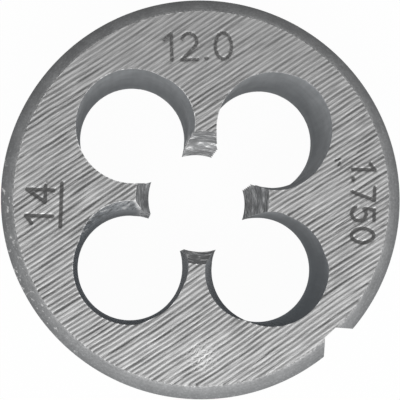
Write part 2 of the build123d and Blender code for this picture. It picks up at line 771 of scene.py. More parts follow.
class Skin:
    """Collects patches of surface and welds them into one closed mesh.

    Its marks are numbers at the points, which the finishes read: how deep a point lies in a
    furrow, how fully it is struck, whether it is on the rim of its zone, and how bright the
    grinding left it.
    """

    WELD: ClassVar[float] = 1e-4
    SHARP_TURN: ClassVar[float] = radians(30)
    MARKS: ClassVar[tuple[str, ...]] = ("furrow", "struck", "rim", "ground")

    def __init__(self) -> None:
        """Starts with no patches."""
        self.points: list[np.ndarray] = []
        self.triangles: list[np.ndarray] = []
        self.zones: list[np.ndarray] = []
        self.marks: dict[str, list[np.ndarray]] = {name: [] for name in self.MARKS}
        self.count = 0

    def add(
        self, points: np.ndarray, triangles: np.ndarray, zone: Zone, **marks: np.ndarray
    ) -> None:
        """Adds one patch.

        Args:
            points: Its points, one row each.
            triangles: Its triangles, as rows of three point numbers.
            zone: The zone whose finish it has.
            **marks: Its marks by name, each with a number from 0 to 1 for every point. Those
                that are left out are 0.
        """
        self.points.append(points)
        self.triangles.append(np.asarray(triangles) + self.count)
        self.zones.append(np.full(len(triangles), zone.value))
        for name, values in self.marks.items():
            values.append(marks.get(name, np.zeros(len(points))))
        self.count += len(points)

    def mesh(self, name: str) -> bpy.types.Mesh:
        """Welds the patches and makes the mesh, in metres.

        Args:
            name: The mesh's name.

        Returns:
            The mesh, with the zones as material numbers and the marks as attributes.
        """
        points = np.vstack(self.points)
        keys = np.round(points / self.WELD).astype(np.int64)
        _, first, place = np.unique(keys, axis=0, return_index=True, return_inverse=True)
        place = place.ravel()
        triangles = place[np.vstack(self.triangles)]
        whole = np.all(triangles != np.roll(triangles, 1, axis=1), axis=1)
        triangles = triangles[whole]
        zones = np.concatenate(self.zones)[whole]
        mesh = bpy.data.meshes.new(name)
        mesh.from_pydata((points[first] * MM).tolist(), [], triangles.tolist())
        mesh.polygons.foreach_set("material_index", zones.astype(np.int32))
        mesh.polygons.foreach_set("use_smooth", np.ones(len(zones), bool))
        for label, values in self.marks.items():
            merged = np.zeros(len(first))
            np.maximum.at(merged, place, np.concatenate(values))
            attribute = mesh.attributes.new(label, "FLOAT", "POINT")
            attribute.data.foreach_set("value", merged.astype(np.float32))
        self.sharpen(mesh, zones)
        mesh.update()
        return mesh

    def sharpen(self, mesh: bpy.types.Mesh, zones: np.ndarray) -> None:
        """Marks the edges between zones, and those that turn sharply, as sharp.

        Args:
            mesh: The closed mesh.
            zones: The number of each triangle's zone.
        """
        loop_edges = np.zeros(len(mesh.loops), np.int32)
        mesh.loops.foreach_get("edge_index", loop_edges)
        normals = np.zeros(len(mesh.polygons) * 3)
        mesh.polygons.foreach_get("normal", normals)
        normals = normals.reshape(-1, 3)
        faces = np.repeat(np.arange(len(zones)), 3)
        order = np.argsort(loop_edges, kind="stable")
        starts = np.searchsorted(loop_edges[order], np.arange(len(mesh.edges)))
        first = faces[order[starts]]
        second = faces[order[np.minimum(starts + 1, len(order) - 1)]]
        likeness = np.einsum("ij,ij->i", normals[first], normals[second])
        sharp = (likeness < cos(self.SHARP_TURN)) | (zones[first] != zones[second])
        attribute = mesh.attributes.new("sharp_edge", "BOOLEAN", "EDGE")
        attribute.data.foreach_set("value", sharp)


def triangulated(
    points: np.ndarray, loops: list[list[int]], lines: list[tuple[int, int]]
) -> np.ndarray:
    """Triangulates points in the plane inside closed loops.

    Args:
        points: The points, one row each.
        loops: Closed loops of point numbers. Inner loops bound holes.
        lines: Further edges that the triangles have to follow.

    Returns:
        The triangles, as rows of three point numbers.
    """
    closest = 1e-7
    inside = 1 if len(loops) == 1 else 2
    vectors = [Vector((float(x), float(y))) for x, y in points]
    result = delaunay_2d_cdt(vectors, lines, loops, inside, closest)
    vertices, faces, origins = result[0], result[2], result[3]
    numbers = []
    for vertex, origin in zip(vertices, origins):
        if not origin:
            raise ValueError(f"the loops cross at {tuple(vertex)}")
        numbers.append(origin[0])
    return np.array([[numbers[i] for i in face] for face in faces if len(face) == 3])


def around_axis(radius: np.ndarray, angle: np.ndarray, height: np.ndarray) -> np.ndarray:
    """Points at distances from the axis, directions and heights."""
    return np.stack([radius * np.cos(angle), radius * np.sin(angle), height], axis=-1)


@dataclass
class Land:
    """One threaded land, as a grid of points from the back face to the front face.

    The rows follow the thread's slant, and come level over the levelling height at each face.
    """

    form: DieForm
    number: int
    cuts: dict[Side, ToolMarks]
    columns: int = 24
    row_gap: float = 0.12
    levelling: float = 0.6
    first_half: float = 0.2
    rounds: int = 16
    face_gap: float = 0.15
    mark_gap: float = 0.04
    grid: np.ndarray = field(init=False)

    def __post_init__(self) -> None:
        """Works out the grid's points."""
        form = self.form
        heights = self.row_heights()
        slant = smooth_step(np.minimum(heights, form.thickness - heights) / self.levelling)
        centre = self.number * form.land_spacing
        ends = []
        for side in (-1, 1):
            half = np.full(len(heights), self.first_half)
            for _ in range(self.rounds):
                level = heights + form.thread_pitch * side * half / (2 * pi) * slant
                radius = form.bore_surface(level, centre + side * half)
                half = form.land_edge(self.number, side, radius, level)
            ends.append(side * half)
        shares = np.linspace(0, 1, self.columns + 1)
        turn = ends[0][:, None] * (1 - shares) + ends[1][:, None] * shares
        height = heights[:, None] + form.thread_pitch * turn / (2 * pi) * slant[:, None]
        height = self.lowered(height, turn + centre)
        radius = form.bore_surface(height, turn + centre)
        for column, side in ((0, -1), (-1, 1)):
            level = height[:, column]
            for _ in range(self.rounds):
                radius[:, column] = form.bore_surface(level, turn[:, column] + centre)
                edge = form.land_edge(self.number, side, radius[:, column], level)
                turn[:, column] = side * edge
        self.grid = around_axis(radius, turn + centre, height)

    def row_heights(self) -> np.ndarray:
        """Finds heights for the rows, one on every edge of the thread and lead cones.

        Returns:
            The heights above the back face, at the land's middle.
        """
        form = self.form
        top = form.thickness
        marks = [form.back_lead, top - form.front_lead, top - form.reliefs[self.number].depth]
        shares = (-form.crest_edge, -form.root_edge, form.root_edge, form.crest_edge)
        for turn in range(-1, ceil(top / form.thread_pitch) + 1):
            groove = (turn + self.number / form.land_count + form.thread_start) * form.thread_pitch
            marks += [groove + share * form.thread_pitch for share in shares]
        inner = sorted(mark for mark in marks if self.face_gap < mark < top - self.face_gap)
        kept = [0.0]
        for mark in [*inner, top]:
            if mark - kept[-1] > self.mark_gap:
                kept.append(mark)
        rows = [0.0]
        for start, end in zip(kept[:-1], kept[1:]):
            steps = ceil((end - start) / self.row_gap)
            rows += [start + (end - start) * (i + 1) / steps for i in range(steps)]
        return np.array(rows)

    def lowered(self, height: np.ndarray, angle: np.ndarray) -> np.ndarray:
        """Presses the rows near each face together by what is cut from that face.

        Args:
            height: Height of every point of the grid.
            angle: Its direction from the axis.

        Returns:
            The heights after the cut.
        """
        form = self.form
        points = around_axis(form.mouth_radius, angle.ravel(), height.ravel())[:, :2]
        front = self.cuts[Side.FRONT].cut(points).reshape(height.shape)
        back = self.cuts[Side.BACK].cut(points).reshape(height.shape)
        lit_near_front = np.clip(1 - (form.thickness - height) / form.front_lead, 0, 1)
        near_back = np.clip(1 - height / form.back_lead, 0, 1)
        return height - front * lit_near_front + back * near_back

    def add_to(self, skin: Skin) -> None:
        """Adds the land's surface to the die's skin.

        Args:
            skin: The skin.
        """
        rows, columns = self.grid.shape[:2]
        number = np.arange(rows * columns).reshape(rows, columns)
        a, b, c, d = number[:-1, :-1], number[:-1, 1:], number[1:, 1:], number[1:, :-1]
        lower = np.stack([a, c, b], axis=-1).reshape(-1, 3)
        upper = np.stack([a, d, c], axis=-1).reshape(-1, 3)
        rim = np.ones((rows, columns))
        rim[1:-1, 1:-1] = 0
        triangles = np.vstack([lower, upper])
        skin.add(self.grid.reshape(-1, 3), triangles, Zone.THREAD, rim=rim.ravel())


@dataclass
class ChipHole:
    """The wall of one chip hole, from the land before it to the land after it.

    The turns of the wall's points are given as first, end and step, in degrees. The fine ones
    lie on the relief, and down to a little below it.
    """

    form: DieForm
    number: int
    before: Land
    after: Land
    cuts: dict[Side, ToolMarks]
    edge_gap: float = 0.1
    edge_rounds: int = 3
    turns: tuple[float, float, float] = (-132, 136, 3.0)
    levels: int = 8
    face_gap: float = 0.6
    fine_turns: tuple[float, float, float] = (-134, -25, 2.0)
    fine_gap: float = 0.2
    below_relief: float = 0.4
    ground_blend: float = 0.04
    edges: dict[Side, np.ndarray] = field(init=False)

    def __post_init__(self) -> None:
        """Works out the hole's edge on each face."""
        self.edges = {side: self.edge(side) for side in Side}

    def local_angle(self, points: np.ndarray) -> np.ndarray:
        """Angle of points round the hole's centre, 0 on the side of the rim."""
        x, y = (points[:, :2] - self.form.hole_centre(self.number)).T
        return wrapped(np.arctan2(y, x) - self.form.hole_direction(self.number))

    def edge(self, side: Side) -> np.ndarray:
        """Finds the hole's edge on a face, from the land before to the land after.

        Args:
            side: The face.

        Returns:
            The edge's points, one row each.
        """
        form = self.form
        ends = np.array([self.before.grid[side.value, -1], self.after.grid[side.value, 0]])
        first, last = self.local_angle(ends)
        steps = ceil((last - first) * form.chip_radius / self.edge_gap)
        turn = np.linspace(first, last, steps + 1)[1:-1]
        level = np.full(len(turn), form.face_height(side))
        for _ in range(self.edge_rounds):
            level = form.face_height(side, self.cuts[side].cut(self.wall(turn, level)[:, :2]))
        return np.vstack([ends[:1], self.wall(turn, level), ends[1:]])

    def wall(self, turn: np.ndarray, height: np.ndarray) -> np.ndarray:
        """Finds points of the wall.

        Args:
            turn: Their angles round the hole's centre.
            height: Their heights above the back face.

        Returns:
            The points, one row each.
        """
        distance = self.form.hole_surface(self.number, turn, height)
        heading = self.form.hole_direction(self.number) + turn
        centre = np.append(self.form.hole_centre(self.number), 0.0)
        return centre + around_axis(distance, heading, height)

    def wall_grid(self) -> tuple[np.ndarray, np.ndarray]:
        """Lays points over the wall, finer where the relief is.

        Returns:
            Their angles round the hole's centre, and their heights.
        """
        thickness = self.form.thickness
        levels = np.linspace(self.face_gap, thickness - self.face_gap, self.levels)
        turns, heights = np.meshgrid(np.radians(np.arange(*self.turns)), levels)
        bottom = thickness - self.form.reliefs[self.number].depth - self.below_relief
        coarse = (turns >= radians(self.fine_turns[1])) | (heights <= bottom)
        fine_turns, fine_heights = np.meshgrid(
            np.radians(np.arange(*self.fine_turns)),
            np.arange(thickness - self.fine_gap, bottom, -self.fine_gap),
        )
        turns = np.concatenate([turns[coarse], fine_turns.ravel()])
        return turns, np.concatenate([heights[coarse], fine_heights.ravel()])

    def add_to(self, skin: Skin) -> None:
        """Adds the hole's wall to the die's skin.

        Args:
            skin: The skin.
        """
        form = self.form
        back, front = self.edges[Side.BACK], self.edges[Side.FRONT]
        upwards, downwards = self.after.grid[:-1, 0], self.before.grid[:0:-1, -1]
        border = np.vstack([back[:-1], upwards, front[:0:-1], downwards])
        points = np.vstack([border, self.wall(*self.wall_grid())])
        flat = np.column_stack([self.local_angle(points) * form.chip_radius, points[:, 2]])
        triangles = triangulated(flat, [list(range(len(border)))], [])
        rim = np.zeros(len(points))
        rim[: len(border)] = 1
        distance = np.hypot(*(points[:, :2] - form.hole_centre(self.number)).T)
        ground = smooth_step((distance - form.chip_radius) / self.ground_blend)
        ground *= form.reliefs[self.number].brightness
        skin.add(points, triangles[:, ::-1], Zone.CHIP_HOLE, rim=rim, ground=ground)


@dataclass
class RimSheet:
    """Points of the rim's surface, unrolled flat, with the lines that join them."""

    surface: Callable[[np.ndarray, np.ndarray], np.ndarray]
    turns: list[np.ndarray] = field(default_factory=list)
    heights: list[np.ndarray] = field(default_factory=list)
    places: list[np.ndarray] = field(default_factory=list)
    lines: list[tuple[int, int]] = field(default_factory=list)
    count: int = 0

    def put(
        self, turn: np.ndarray, height: np.ndarray, place: np.ndarray | None = None
    ) -> list[int]:
        """Adds points.

        Args:
            turn: Their turns from the seam, or one turn for all.
            height: Their heights, or one height for all.
            place: Where they are, if that isn't on the rim's own surface.

        Returns:
            Their numbers.
        """
        turn, height = np.broadcast_arrays(*np.atleast_1d(turn, height))
        turn, height = turn.astype(float), height.astype(float)
        self.turns.append(turn)
        self.heights.append(height)
        self.places.append(self.surface(turn, height) if place is None else place)
        self.count += len(turn)
        return list(range(self.count - len(turn), self.count))

    def put_line(self, turn: np.ndarray, height: np.ndarray) -> list[int]:
        """Adds points that are joined into a line.

        Args:
            turn: Their turns from the seam, or one turn for all.
            height: Their heights, or one height for all.

        Returns:
            Their numbers.
        """
        numbers = self.put(turn, height)
        self.lines.extend(zip(numbers[:-1], numbers[1:]))
        return numbers

    def flat(self, radius: float) -> np.ndarray:
        """All the points, unrolled at a radius."""
        return np.column_stack([np.concatenate(self.turns) * radius, np.concatenate(self.heights)])


@dataclass
class Rim:
    """The turned rim with its chamfers, the notch and the screw detents.

    Its surface starts and ends at the seam, a direction away from every cut. Points that are
    nearer to a face than the edge's reach count as the edge. The rings of a detent are given in
    shares of the mouth's radius.
    """

    form: DieForm
    cuts: dict[Side, ToolMarks]
    seam: float = radians(40)
    edge_gap: float = 0.09
    edge_reach: float = 0.25
    corner_gap: float = 0.0015
    column_step: float = radians(0.6)
    levels: int = 8
    notch_levels: int = 9
    detent_corners: int = 40
    detent_rings: tuple[float, ...] = (0.25, 0.5, 0.75, 1.0)
    detent_margin: float = 1.06
    edges: dict[Side, np.ndarray] = field(init=False)

    def __post_init__(self) -> None:
        """Works out the rim's edge on each face."""
        self.edges = {side: self.edge(side) for side in Side}

    @property
    def floor_turn(self) -> float:
        """Turn from the notch's middle to the corner of its floor."""
        return atan2(self.form.notch_floor_width / 2, self.form.notch_distance)

    def from_seam(self, angle: np.ndarray) -> np.ndarray:
        """Turn from the seam to a direction, from 0 to a whole turn."""
        return (angle - self.seam) % (2 * pi)

    def edge(self, side: Side) -> np.ndarray:
        """Finds a face's outer edge, once round from the seam and back to it.

        Args:
            side: The face.

        Returns:
            The edge's points, one row each.
        """
        form = self.form
        steps = ceil(2 * pi * form.face_radius / self.edge_gap)
        turns = np.linspace(0, 2 * pi, steps + 1)[:-1]
        corner_turns = (self.floor_turn, form.notch_turn(form.face_radius))
        corners = [form.notch_direction + sign * turn for turn in corner_turns for sign in (-1, 1)]
        corners = [self.from_seam(corner) for corner in corners]
        clear = np.all([np.abs(turns - corner) > self.corner_gap for corner in corners], axis=0)
        turns = np.sort(np.concatenate([turns[clear], corners]))
        angle = self.seam + turns
        plan = form.face_radius * np.column_stack([np.cos(angle), np.sin(angle)])
        cut = self.cuts[side].cut(plan)
        radius = np.minimum(form.face_radius + cut, form.notch_surface(angle))
        return around_axis(radius, angle, form.face_height(side, cut))

    def surface(self, turn: np.ndarray, height: np.ndarray) -> np.ndarray:
        """Finds points of the rim.

        Args:
            turn: Their turns from the seam.
            height: Their heights above the back face.

        Returns:
            The points, one row each.
        """
        angle = self.seam + turn
        radius = np.minimum(self.form.rim_surface(height), self.form.notch_surface(angle))
        radius = np.minimum(radius, self.form.detent_surface(height, angle))
        return around_axis(radius, angle, height)

    def add_to(self, skin: Skin) -> None:
        """Adds the rim's surface to the die's skin.

        Args:
            skin: The skin.
        """
        form = self.form
        chamfer, top = form.rim_chamfer, form.thickness
        bands = np.linspace(chamfer, top - chamfer, self.levels)[1:-1]
        side_heights = np.array([chamfer / 2, chamfer, *bands, top - chamfer, top - chamfer / 2])
        sheet = RimSheet(self.surface)
        bottom = self.put_edge(sheet, Side.BACK)
        seam_points = self.surface(np.zeros(len(side_heights)), side_heights)
        right = sheet.put(2 * pi, side_heights, seam_points)
        upper = self.put_edge(sheet, Side.FRONT)
        left = sheet.put(0.0, side_heights[::-1])[::-1]

        middle = self.from_seam(form.notch_direction)
        rim_turn = form.notch_turn(form.body_radius)
        columns = np.arange(self.column_step, 2 * pi - self.column_step / 2, self.column_step)
        columns = columns[np.abs(columns - middle) > rim_turn + self.column_step / 3]
        chamfer_rows = (1, -2)
        for place in chamfer_rows:
            height = side_heights[place]
            inner = sheet.put_line(columns[columns < middle], height)
            outer = sheet.put_line(columns[columns > middle], height)
            corners = sheet.put(np.array([middle - rim_turn, middle + rim_turn]), height)
            sheet.lines += [(left[place], inner[0]), (outer[-1], right[place])]
            sheet.lines += [(inner[-1], corners[0]), (corners[1], outer[0])]
        for sign in (-1, 1):
            self.put_notch(sheet, middle, sign)
        for level in (side_heights[0], *bands, side_heights[-1]):
            sheet.put(columns, level)
        for direction in form.detent_directions:
            self.put_detent(sheet, self.from_seam(direction))

        points = np.vstack(sheet.places)
        border = bottom + right + upper + left[::-1]
        keep, border, lines = self.cleared(sheet, border)
        triangles = triangulated(sheet.flat(form.body_radius)[keep], [border], lines)
        points = points[keep]
        near_edge = np.minimum(points[:, 2], top - points[:, 2]) < self.edge_reach
        skin.add(points, triangles, Zone.RIM, rim=near_edge.astype(float))

    def put_edge(self, sheet: RimSheet, side: Side) -> list[int]:
        """Adds a face's outer edge, with its first point again after a whole turn.

        Args:
            sheet: The unrolled rim.
            side: The face.

        Returns:
            The numbers of the points, in the order of the sheet's border.
        """
        edge = self.edges[side]
        turns = self.from_seam(np.arctan2(edge[:, 1], edge[:, 0]))
        turns = np.append(turns, 2 * pi)
        turns[0] = 0.0
        order = np.arange(len(turns)) if side is Side.BACK else np.arange(len(turns))[::-1]
        edge = np.vstack([edge, edge[:1]])[order]
        return sheet.put(turns[order], edge[:, 2], edge)

    def put_notch(self, sheet: RimSheet, middle: float, sign: int) -> None:
        """Adds the lines of points along one flank of the notch.

        Args:
            sheet: The unrolled rim.
            middle: Turn of the notch's middle from the seam.
            sign: The flank, 1 or -1.
        """
        form = self.form
        chamfer, top = form.rim_chamfer, form.thickness
        rim_turn = form.notch_turn(form.body_radius)
        for turn, gap in ((rim_turn, chamfer), (self.floor_turn, chamfer / 2)):
            sheet.put_line(middle + sign * turn, np.linspace(gap, top - gap, self.notch_levels))
        shares = np.linspace(0, 1, self.notch_levels)[1:-1]
        turns = form.notch_turn(form.face_radius + shares * chamfer)
        for face_height, rim_height in ((0.0, chamfer), (top, top - chamfer)):
            level = face_height + shares * (rim_height - face_height)
            sheet.put_line(middle + sign * turns, level)

    def put_detent(self, sheet: RimSheet, middle: float) -> None:
        """Adds the rings of points of one screw detent.

        Args:
            sheet: The unrolled rim.
            middle: Turn of the detent's middle from the seam.
        """
        form = self.form
        corners = np.linspace(0, 2 * pi, self.detent_corners + 1)[:-1]
        level = form.thickness / 2
        sheet.put(middle, level)
        for share in self.detent_rings:
            ring_radius = form.detent_mouth_radius * share
            half_turn = np.arcsin(ring_radius * np.cos(corners) / form.body_radius)
            ring = sheet.put_line(middle + half_turn, level + ring_radius * np.sin(corners))
            sheet.lines.append((ring[-1], ring[0]))

    def cleared(
        self, sheet: RimSheet, border: list[int]
    ) -> tuple[np.ndarray, list[int], list[tuple[int, int]]]:
        """Drops the loose points that lie in a detent's mouth.

        Args:
            sheet: The unrolled rim.
            border: Numbers of the points of the border.

        Returns:
            Which points stay, and the border and lines with the new numbers.
        """
        form = self.form
        flat = sheet.flat(form.body_radius)
        at_middle = 1e-6
        fixed = np.zeros(len(flat), bool)
        fixed[border] = True
        fixed[np.ravel(sheet.lines)] = True
        keep = np.ones(len(flat), bool)
        for direction in form.detent_directions:
            middle = self.from_seam(direction) * form.body_radius
            gap = np.hypot(flat[:, 0] - middle, flat[:, 1] - form.thickness / 2)
            outside = gap > form.detent_mouth_radius * self.detent_margin
            keep &= fixed | outside | (gap < at_middle)
        numbers = np.cumsum(keep) - 1
        lines = [(int(numbers[a]), int(numbers[b])) for a, b in sheet.lines]
        return keep, [int(numbers[i]) for i in border], lines


@dataclass
class GroundFace:
    """One of the two flat faces, between the rim's edge and the edges of the holes."""

    form: DieForm
    side: Side
    marks: ToolMarks
    rim: Rim
    lands: list[Land]
    holes: list[ChipHole]
    margin: float = 0.06

    def inner_edge(self) -> np.ndarray:
        """Follows the closed edge round the bore and the chip holes.

        Returns:
            The edge's points, one row each.
        """
        parts = []
        for land, hole in zip(self.lands, self.holes):
            parts += [land.grid[self.side.value, :-1], hole.edges[self.side][:-1]]
        return np.vstack(parts)

    def on_metal(self, points: np.ndarray) -> np.ndarray:
        """Finds which points lie on the face, clear of its edges.

        Args:
            points: The points in the face's plane, one row each.

        Returns:
            True for each point that does.
        """
        form = self.form
        radius = np.hypot(points[:, 0], points[:, 1])
        angle = np.arctan2(points[:, 1], points[:, 0])
        outer = np.minimum(form.face_radius, form.notch_surface(angle))
        inside = (radius > form.mouth_radius + self.margin) & (radius < outer - self.margin)
        level = form.face_height(self.side)
        for hole in range(form.land_count):
            offset = points - form.hole_centre(hole)
            turn = np.arctan2(offset[:, 1], offset[:, 0]) - form.hole_direction(hole)
            wall = form.hole_surface(hole, turn, level)
            inside &= np.hypot(offset[:, 0], offset[:, 1]) > wall + self.margin
        return inside

    def add_to(self, skin: Skin) -> None:
        """Adds the face to the die's skin.

        Args:
            skin: The skin.
        """
        outer = self.rim.edges[self.side]
        inner = self.inner_edge()
        border = len(outer) + len(inner)
        plan = self.marks.grid()
        plan = plan[self.on_metal(plan)]
        height = self.form.face_height(self.side, self.marks.cut(plan))
        points = np.vstack([outer, inner, np.column_stack([plan, height])])
        loops = [list(range(len(outer))), list(range(len(outer), border))]
        triangles = triangulated(points[:, :2], loops, [])
        if self.side is Side.BACK:
            triangles = triangles[:, ::-1]
        rim = np.zeros(len(points))
        rim[:border] = 1
        furrow = self.marks.furrow(points[:, :2])
        struck = self.marks.struck(points[:, :2])
        skin.add(points, triangles, Zone.FACE, furrow=furrow, struck=struck, rim=rim)


@dataclass(frozen=True)
class Ramp:
    """A range of values that is mapped to another, and held at its ends."""

    low: float
    high: float
    start: float = 0.0
    end: float = 1.0


@dataclass(frozen=True)
class Grain:
    """Smooth noise in the metal, turned about Z and then drawn out.

    The scale is in waves for each millimetre, and the drawing multiplies it along each axis.
    """

    scale: float
    detail: float = 3.0
    roughness: float = 0.55
    turn: float = 0.0
    drawing: tuple[float, float, float] = (1, 1, 1)


@dataclass(frozen=True)
class BurrHighlight:
    """A broken bright line along the edges between zones: partly the burr that the last cuts left,
    partly a painted highlight where the edges catch the light.

    It is stronger towards the heading, and weaker beside the rim.
    """

    grain: Grain = Grain(5.0, 2.0)
    broken: Ramp = Ramp(0.46, 0.6)
    heading: tuple[float, float, float] = (-0.7, 0.7, 0.0)
    growth: Ramp = Ramp(-3.0, 6.0, 0.15, 1.5)
    at_rim: Ramp = Ramp(16.2, 16.8)
    rim_share: float = 0.55
    edge: Ramp = Ramp(0.6, 0.95)


class Nodes:
    """A short way to write a tree of shader nodes."""

    def __init__(self, tree: bpy.types.NodeTree) -> None:
        """Takes the tree to add nodes to."""
        self.tree = tree

    def add(self, kind: str, inputs: dict | None = None, **settings: object) -> bpy.types.Node:
        """Adds a node.

        Args:
            kind: The node's type, without the "ShaderNode" that they all start with.
            inputs: What goes into its sockets: a number, a colour or another node's output.
            **settings: The node's own settings.

        Returns:
            The node.
        """
        node = self.tree.nodes.new("ShaderNode" + kind)
        for name, value in settings.items():
            setattr(node, name, value)
        for socket, value in (inputs or {}).items():
            self.feed(node.inputs[socket], value)
        return node

    def feed(self, socket: bpy.types.NodeSocket, value: object) -> None:
        """Links an output to a socket, or sets the socket's own value.

        Args:
            socket: The socket.
            value: A number, a colour or another node's output.
        """
        if isinstance(value, bpy.types.NodeSocket):
            self.tree.links.new(value, socket)
        else:
            socket.default_value = value

    def math(self, operation: str, *values: object) -> bpy.types.NodeSocket:
        """Adds a sum.

        Args:
            operation: The kind of sum.
            *values: Its numbers or outputs.

        Returns:
            The result.
        """
        node = self.add("Math", operation=operation)
        for socket, value in zip(node.inputs, values):
            self.feed(socket, value)
        return node.outputs[0]

    def mix(self, factor: object, first: object, second: object) -> bpy.types.NodeSocket:
        """A mix of two colours, by the share of the second."""
        colours = {"Factor": factor, "A": first, "B": second}
        return self.add("Mix", colours, data_type="RGBA").outputs["Result"]

    def span(self, value: object, ramp: Ramp) -> bpy.types.NodeSocket:
        """Maps a value by a ramp.

        Args:
            value: The number or output.
            ramp: The ramp.

        Returns:
            The mapped value.
        """
        taken = {"Value": value, "From Min": ramp.low, "From Max": ramp.high}
        given = {"To Min": ramp.start, "To Max": ramp.end}
        return self.add("MapRange", {**taken, **given}).outputs["Result"]

    def place(
        self, turn: float = 0.0, drawing: tuple[float, float, float] = (1, 1, 1)
    ) -> bpy.types.NodeSocket:
        """Gives the place on the object in millimetres.

        Args:
            turn: The turn about Z, in radians.
            drawing: What each axis is then multiplied by.

        Returns:
            The place.
        """
        place = self.add("TexCoord").outputs["Object"]
        turned = self.add("Mapping", {"Vector": place, "Rotation": (0, 0, turn)})
        scale = tuple(share / MM for share in drawing)
        return self.add("Mapping", {"Vector": turned.outputs[0], "Scale": scale}).outputs[0]

    def height(self) -> bpy.types.NodeSocket:
        """Height above the back face, in millimetres."""
        return self.add("SeparateXYZ", {0: self.place()}).outputs["Z"]

    def radius(self) -> bpy.types.NodeSocket:
        """Distance from the die's axis, in millimetres."""
        flat = self.add("VectorMath", {0: self.place(), 1: (1, 1, 0)}, operation="MULTIPLY")
        return self.add("VectorMath", {0: flat.outputs[0]}, operation="LENGTH").outputs["Value"]

    def towards(self, heading: tuple[float, float, float]) -> bpy.types.NodeSocket:
        """How far the place lies from the object's origin in a direction, in millimetres."""
        node = self.add("VectorMath", {0: self.place(), 1: heading}, operation="DOT_PRODUCT")
        return node.outputs["Value"]

    def noise(self, grain: Grain) -> bpy.types.NodeSocket:
        """Gives smooth noise.

        Args:
            grain: Its form.

        Returns:
            The noise, about 0.5 on the whole.
        """
        place = self.place(grain.turn, grain.drawing)
        form = {"Scale": grain.scale, "Detail": grain.detail, "Roughness": grain.roughness}
        return self.add("TexNoise", {"Vector": place, **form}).outputs["Fac"]

    def attribute(self, name: str) -> bpy.types.NodeSocket:
        """One of the marks at the mesh's points."""
        return self.add("Attribute", attribute_name=name).outputs["Fac"]

    def seen(self) -> bpy.types.NodeSocket:
        """Tells the camera's rays, and those that glossy or clear surfaces send on.

        Returns:
            1 for such rays, else 0.
        """
        path = self.add("LightPath").outputs
        seen = self.math("MAXIMUM", path["Is Camera Ray"], path["Is Glossy Ray"])
        return self.math("MAXIMUM", seen, path["Is Transmission Ray"])


class MaterialNodes(Nodes):
    """The nodes of a new material, with its output and its surface shader."""

    def __init__(self, name: str) -> None:
        """Makes the material.

        Args:
            name: The material's name.
        """
        self.material = bpy.data.materials.new(name)
        self.material.use_nodes = True
        super().__init__(self.material.node_tree)
        self.tree.nodes.clear()
        self.output = self.tree.nodes.new("ShaderNodeOutputMaterial")
        self.shader = self.tree.nodes.new("ShaderNodeBsdfPrincipled")
        self.tree.links.new(self.shader.outputs[0], self.output.inputs["Surface"])

    def fill(self, **values: object) -> None:
        """Fills sockets of the surface shader, named with low lines for spaces."""
        for name, value in values.items():
            self.feed(self.shader.inputs[name.replace("_", " ")], value)

    def bump(self, height: object, strength: float, distance: float) -> None:
        """Gives the surface a fine relief, as high as the distance in metres."""
        relief = {"Strength": strength, "Distance": distance, "Height": height}
        self.fill(Normal=self.add("Bump", relief).outputs[0])

    def burr_highlight(self, burr_highlight: BurrHighlight) -> bpy.types.NodeSocket:
        """Draws a broken bright line along the zone edges: burr and painted highlight.

        Args:
            burr_highlight: Its form.

        Returns:
            Its strength, from 0 to 1.
        """
        broken = self.span(self.noise(burr_highlight.grain), burr_highlight.broken)
        growth = self.span(self.towards(burr_highlight.heading), burr_highlight.growth)
        inner = self.math("MULTIPLY", growth, broken)
        outer = self.math("MULTIPLY", broken, burr_highlight.rim_share)
        at_rim = self.span(self.radius(), burr_highlight.at_rim)
        share = self.add("Mix", {0: at_rim, 2: inner, 3: outer}).outputs[0]
        return self.math("MULTIPLY", self.span(self.attribute("rim"), burr_highlight.edge), share)


def grey(level: float, warmth: float = 0.0) -> tuple[float, float, float, float]:
    """A grey of a linear level, a little warmer or cooler than neutral."""
    return (level * (1 + warmth), level, level * (1 - warmth), 1.0)


